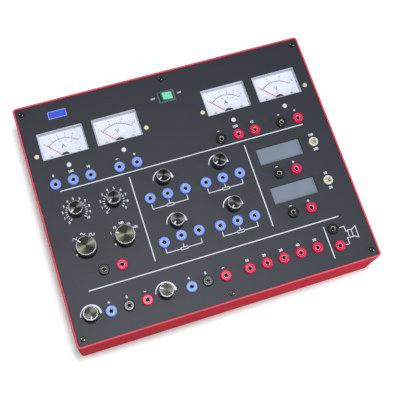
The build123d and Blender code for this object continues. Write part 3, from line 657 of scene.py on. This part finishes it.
for body in pointer_angle:
    if body in ("function", "range"):
        make_knob(body, spun_olive, *large_knob)
    elif body.startswith("supply"):
        make_knob(body, spun_grey, *small_knob)
    else:
        make_knob(body, spun_dark, *small_knob)

# Printing on the panel
section_line = 1.0
wave_line = 0.6
circuit_line = 0.75
speaker_line = 0.7
number_h = 2.6
label_h = 2.7
number_weight = 0.13
ink = Solid()


def line(points, width, closed=False):
    ink.stroke(points, width, 0, print_t, at(0, 0), closed)


def write(text, height, x, y, weight):
    ink.letters(text, height, at(x, y), weight)


for y in (30.0, -80.2):
    line([(-138.3, y), (134.9, y)], section_line)
for x in (-65.0, 64.4):
    line([(x, 24.7), (x, -70.3)], section_line)
line([(115.2, -86.5), (115.2, -122.1)], section_line)

# Ticks and numbers round the amplitude and frequency knobs
ring_start = 225.0
tick_r = 9.4
long_tick_r = 11.9
short_tick_r = 11.5
ring_number_r = 14.2


def dial_ring(x, y, count, step):
    for k in range(count):
        angle = ring_start - k * step
        line([polar(x, y, tick_r, angle), polar(x, y, long_tick_r, angle)], 0.75)
        tx, ty = polar(x, y, ring_number_r, angle)
        write(str(k), number_h, tx, ty, 0.12)
        if k < count - 1:
            between = angle - step / 2
            line([polar(x, y, tick_r, between), polar(x, y, short_tick_r, between)], 0.7)


dial_ring(-127.8, 4.4, 11, 27.0)
dial_ring(-87.7, 3.9, 10, 30.0)

# Swelling arc round each of the other small knobs
swell_r = 11.1
swell_widths = (0.8, 2.2)
swell_angles = (174, -4)
for body in ("pot_1", "pot_2", "pot_3", "pot_4", "supply_1", "supply_2"):
    x, y, _ = joints[body]["pos_m"]
    ink.arc(swell_r, swell_widths, swell_angles, 0, print_t, at(x / MM, y / MM), 48)

# Wave shapes above the function knob, plain numbers above the range knob
low = -25.2
high = -22.6
sine_x = -130.8
sine_y = -21.0
sine_w = 5.0
sine_h = 2.6
sine_steps = 16
line([(-139.8, low), (-138.5, high), (-136.0, low), (-134.8, high)], wave_line)
line([(sine_x + sine_w * k / sine_steps,
       sine_y + sine_h / 2 * math.sin(2 * math.pi * k / sine_steps))
      for k in range(sine_steps + 1)], wave_line)
line([(-121.9, low), (-121.9, high), (-119.4, high), (-119.4, low), (-116.9, low),
      (-116.9, high)], wave_line)
for text, x, y in (("1", -100.2, -28.9), ("10", -95.2, -23.9), ("100", -87.5, -21.0),
                   ("1k", -80.4, -23.9), ("10k", -74.6, -29.2)):
    write(text, number_h, x, y, number_weight)

# Bracket with a resistor sign below each group of three sockets
resistor_w = 7.4
resistor_h = 2.5
lead_from = 3.7
stem_end = 1.35
for top, foot in ((-11.0, -16.3), (-60.6, -65.6)):
    for left, middle, right in ((-51.1, -32.1, -12.5), (10.8, 29.9, 49.3)):
        line([(left, top), (left, foot), (middle - lead_from, foot)], circuit_line)
        line([(middle + lead_from, foot), (right, foot), (right, top)], circuit_line)
        line([(middle, top), (middle, foot + stem_end)], circuit_line)
        line(moved(rectangle(resistor_w, resistor_h, 0.6), middle, foot), 0.65, True)

# Signs and plain numbers beside sockets and switches
sign_reach = 1.25
for text, x, y in (("0", -141.0, 48.6), ("100", -122.1, 48.6), ("10", -103.2, 48.6),
                   ("-", -71.8, 48.0), ("+", -52.6, 48.4), ("-", 42.6, 48.0),
                   ("100", 62.0, 48.4), ("10", 81.1, 48.4), ("-", 112.1, 48.0),
                   ("+", 131.4, 48.4),
                   ("-", 89.9, -8.7), ("+", 109.3, -8.5), ("-", 89.5, -54.6), ("+", 109.7, -54.7),
                   ("+", -122.1, -97.2), ("0", -103.4, -97.2), ("-", -84.2, -97.2),
                   ("+", -37.6, -97.2), ("0", -19.8, -97.2), ("-", -0.5, -97.2),
                   ("10", 25.5, -97.2), ("20", 44.5, -97.2), ("30", 63.2, -97.2),
                   ("40", 82.1, -97.2), ("50", 101.0, -97.2),
                   ("100", 138.6, 15.6), ("200", 138.6, -1.4), ("10", 138.6, -30.5),
                   ("20", 138.6, -47.5)):
    if text == "-":
        line([(x - sign_reach, y), (x + sign_reach, y)], 0.85)
    elif text == "+":
        ink.prism(plus_outline(sign_reach, 0.42), 0, print_t, at(x, y))
    else:
        write(text, label_h, x, y, number_weight)
write("OFF", 2.0, -15.0, 104.0, 0.06)
write("ON", 2.0, 15.0, 104.0, 0.06)

# Loudspeaker sign with its two wires
line([(131.2, -92.3), (136.7, -92.3), (136.7, -98.0), (138.6, -98.0)], speaker_line)
line([(131.8, -111.8), (135.9, -111.8), (135.9, -105.0), (138.6, -105.0)], speaker_line)
line([(138.6, -97.3), (142.7, -97.3), (142.7, -105.6), (138.6, -105.6)], speaker_line, True)
line([(142.7, -98.2), (148.3, -95.0), (148.0, -107.6), (142.7, -105.0)], speaker_line)
ink.make("panel_printing", "case", white_ink)

# Blank blue plate with a white border
plate_x = -119.1
plate_y = 116.0
plate_w = 20.3
plate_h = 9.1
plate_t = 0.12
border_inset = 0.5
border_low = 0.1
border_high = 0.16
border_line = 0.3
plate = Solid()
plate.prism(rectangle(plate_w, plate_h, 0.4), 0, plate_t, at(plate_x, plate_y))
plate.make("blank_plate", "case", blank_blue)
border = Solid()
border_edge = rectangle(plate_w - 2 * border_inset, plate_h - 2 * border_inset, 0.3)
border.stroke(border_edge, border_line, border_low, border_high, at(plate_x, plate_y), True)
border.make("plate_border", "case", white_ink)

# Analog meters: the ammeters have two rows of numbers, the voltmeters one
face = -6.2
pivot_y = -16.0
scale_r = 22.8
scale_from = 133.5
scale_span = 89.0
scale_line = 0.75
outer_row_r = 27.7
outer_row_h = 2.3
inner_row_r = 18.8
inner_row_h = 1.9
number_lean = 0.7
unit_h = 4.6
unit_y = -2.4
dash_y = -5.8
class_h = 1.4
class_x = 16.5
class_y = -8.4
window_w = 49.8
window_h = 31.4
walls_w = 2.6
walls_h = 2.8
wall_top = -1.5
cover_top = -0.3
dial_screw_x = 14.9
dial_screw_y = -12.4
screw_profile = soften([(0, 0, 0), (1.6, 0, 0), (1.6, 0.75, 0.4), (0, 0.8, 0)])
small_sides = 24

# Width and length of the ticks with a number, and of those between
number_tick = (0.5, 2.6)
small_tick = (0.3, 1.3)

scale = Solid()
frames = Solid()
glass = Solid()
dial_screws = Solid()


def scale_angle(step, steps):
    return scale_from - scale_span * step / steps


def scale_number(cx, cy, number, r, angle, height, weight=0.0):
    """A number on a dial, leaning with its place on the scale."""
    x, y = polar(cx, cy + pivot_y, r, angle)
    lean = (angle - 90) * number_lean
    scale.letters(str(number), height, at(x, y, face, lean), weight)


def meter_scale(cx, cy, unit, numbers, ticks_each):
    """The arc, ticks, numbers and unit of one dial, with ticks_each steps to a number."""
    pivot = at(cx, cy + pivot_y, face)
    last = len(numbers) - 1
    steps = last * ticks_each
    ends = (scale_from, scale_from - scale_span)
    scale.arc(scale_r, (scale_line, scale_line), ends, 0, print_t, pivot, 40)
    for j in range(steps + 1):
        angle = scale_angle(j, steps)
        width, length = number_tick if j % ticks_each == 0 else small_tick
        ray = [polar(0, 0, scale_r, angle), polar(0, 0, scale_r + length, angle)]
        scale.stroke(ray, width, 0, print_t, pivot)
    for j, number in enumerate(numbers):
        angle = scale_angle(j, last)
        scale_number(cx, cy, number, outer_row_r, angle, outer_row_h, 0.02)
        if unit == "A":
            scale_number(cx, cy, number * 5, inner_row_r, angle, inner_row_h)
    scale.letters(unit, unit_h, at(cx, cy + unit_y, face), 0.12)


def meter_window(cx, cy):
    """Frosted walls round a dial, the clear cover on them, and two screws on the dial."""
    outside = rectangle(window_w, window_h, 0.8)
    inside = moved(rectangle(window_w - walls_w, window_h - walls_h, 0.5), 0.3, -0.2)
    frames.band(inside, outside, face, wall_top, at(cx, cy))
    glass.prism(outside, wall_top, cover_top, at(cx, cy))
    for side in (-1, 1):
        place = at(cx + side * dial_screw_x, cy + dial_screw_y, face)
        dial_screws.lathe(screw_profile, small_sides, place)


for k in range(4):
    x, y, _ = joints[f"needle_{k + 1}"]["pos_m"]
    cx = x / MM
    cy = y / MM - pivot_y
    if k % 2 == 0:
        meter_scale(cx, cy, "A", [0, 1, 2, 3, 4, 5], 2)
    else:
        meter_scale(cx, cy, "V", [0, 5, 10, 15], 5)
    if k > 1:
        scale.stroke([(-1.5, 0), (1.5, 0)], 0.4, 0, print_t, at(cx, cy + dash_y, face))
    scale.letters("2.5", class_h, at(cx + class_x, cy + class_y, face))
    meter_window(cx, cy)
scale.make("meter_scales", "case", scale_ink)
frames.make("meter_frames", "case", frosted_wall, ["meter_windows"])
glass.make("meter_covers", "case", clear_cover)
dial_screws.make("dial_screws", "case", satin_metal)

# Dark gasket between each display glass and the edge of its cut-out; the extra width on the right is painted shade
# of the cut-out's wall there
panel_t = 2.0
display_w = 50.0
display_h = 18.8
gasket_t = 0.5
gasket_w = 0.2
right_shade_w = 0.5
gasket_play = 0.04
gaskets_and_shade = Solid()
outer_edge = rectangle(display_w - gasket_play, display_h - gasket_play, 0.3)
inner_edge = moved(rectangle(display_w - gasket_w - right_shade_w, display_h - 2 * gasket_w, 0.3),
                   (gasket_w - right_shade_w) / 2, 0)
for x, y in ((99.5, 6.8), (99.7, -39.2)):
    gaskets_and_shade.band(inner_edge, outer_edge, 0, gasket_t, at(x, y, -panel_t))
gaskets_and_shade.make("display_gaskets_and_shade", "case", hub_black)

# Rocker: a pale window in the green moulding, tilted as the rocker is at rest; the window and the moulding glow by
# painted emission
rocker_place = at(0.5, 103.0, -1.0)
tilt = Matrix.Rotation(math.radians(11), 4, "Y")
lens_low = 3.0
lens_high = 4.1
lens = Solid()
lens.prism(rectangle(11.4, 8.2, 0.8), lens_low, lens_high, rocker_place @ tilt)
lens.make("rocker_window", "rocker", glowing_rocker_lens)

# Painted highlights: small bright metal arcs on the heads of the panel screws, standing in for glints
screw_x = 156.0
screw_y = 124.8
glint_low = 1.7
glint_high = 1.95
screw_glints = Solid()
for y in (-screw_y, screw_y):
    for x in (-screw_x, 0, screw_x):
        for r, width, angles in ((2.25, 1.1, (-66, -32)), (2.2, 0.8, (140, 168))):
            screw_glints.arc(r, (width, width), angles, glint_low, glint_high, at(x, y), 6)
screw_glints.make("screw_painted_glints", "case", glint_steel)

# Locating pins beside the two selector knobs
pin_profile = soften([(0, 0, 0), (1.15, 0, 0), (1.15, 1.2, 0.3), (0, 1.2, 0)])
pins = Solid()
for x, y in ((-139.6, -41.2), (-98.8, -41.6)):
    pins.lathe(pin_profile, small_sides, at(x, y))
pins.make("locating_pins", "case", pin_brass)

# Floor, in metres: lit by the lamps near the case, and fading to plain white further out
floor_side = 60
fade_from = 0.16
fade_to = 0.7
glow_near = 0.14
glow_far = 0.95
floor_mesh = bpy.data.meshes.new("floor")
corners = [(x, y, 0) for x, y in rectangle(floor_side, floor_side)]
floor_mesh.from_pydata(corners, [], [(0, 1, 2, 3)])
floor = bpy.data.objects.new("floor", floor_mesh)
bpy.context.scene.collection.objects.link(floor)
white_floor = bpy.data.materials.new("white_floor")
white_floor.use_nodes = True
tree = white_floor.node_tree
tree.nodes.clear()
output = add_node(tree, "ShaderNodeOutputMaterial")
both = add_node(tree, "ShaderNodeAddShader")
diffuse = add_node(tree, "ShaderNodeBsdfDiffuse", Color=(0.9, 0.98, 0.96, 1))
glow = add_node(tree, "ShaderNodeEmission")
path = add_node(tree, "ShaderNodeLightPath")
coords = add_node(tree, "ShaderNodeTexCoord")
distance = add_node(tree, "ShaderNodeVectorMath")
distance.operation = "LENGTH"
brighter = add_node(tree, "ShaderNodeMapRange", From_Min=fade_from, From_Max=fade_to,
                    To_Min=glow_near, To_Max=glow_far)
tree.links.new(coords.outputs["Object"], distance.inputs[0])
tree.links.new(distance.outputs["Value"], brighter.inputs["Value"])
seen = combine(tree, "ADD", path.outputs["Is Camera Ray"], path.outputs["Is Glossy Ray"], True)
seen = combine(tree, "ADD", seen, path.outputs["Is Transmission Ray"], True)
strength = combine(tree, "MULTIPLY", seen, brighter.outputs["Result"])
tree.links.new(strength, glow.inputs["Strength"])
tree.links.new(diffuse.outputs["BSDF"], both.inputs[0])
tree.links.new(glow.outputs["Emission"], both.inputs[1])
tree.links.new(both.outputs["Shader"], output.inputs["Surface"])
floor_mesh.materials.append(white_floor)

# World and lamps, in metres
lamp_colour = (0.95, 0.975, 1.0)
sky_colour = (0.93, 0.95, 1.0, 1)
world = bpy.data.worlds.new("studio")
world.use_nodes = True
sky = world.node_tree.nodes["Background"]
set_sockets(sky, {"Color": sky_colour, "Strength": 0.22})
bpy.context.scene.world = world


def area_light(name, place, target, size, power):
    data = bpy.data.lights.new(name, "AREA")
    data.shape = "DISK"
    data.size = size
    data.energy = power
    data.color = lamp_colour
    lamp = bpy.data.objects.new(name, data)
    lamp.location = place
    lamp.rotation_euler = (Vector(target) - Vector(place)).to_track_quat("-Z", "Y").to_euler()
    bpy.context.scene.collection.objects.link(lamp)


area_light("overhead", (0.0, -0.05, 1.6), (0, 0, 0.05), 0.24, 17)
area_light("front_right", (0.68, -0.5, 0.46), (0.05, -0.05, 0.03), 0.3, 3.2)
area_light("left", (-0.9, 0.25, 1.1), (0, 0, 0.03), 0.5, 2)

# Camera: its place in metres and its three axes
camera_place = (-0.13514, -0.24614, 0.87797)
right = Vector((0.94842, -0.30785, 0.07564))
up = Vector((0.26997, 0.90944, 0.31628))
back = Vector((-0.16615, -0.27955, 0.94565))
camera_data = bpy.data.cameras.new("camera")
camera_data.lens = 73.03
camera_data.sensor_width = 36
camera_data.shift_x = -0.0088
camera_data.shift_y = -0.0399
camera_data.clip_start = 0.01
camera = bpy.data.objects.new("camera", camera_data)
turn = Matrix((right, up, back)).transposed().to_4x4()
camera.matrix_world = Matrix.Translation(camera_place) @ turn
bpy.context.scene.collection.objects.link(camera)
bpy.context.scene.camera = camera
bpy.context.scene.view_settings.view_transform = "Standard"
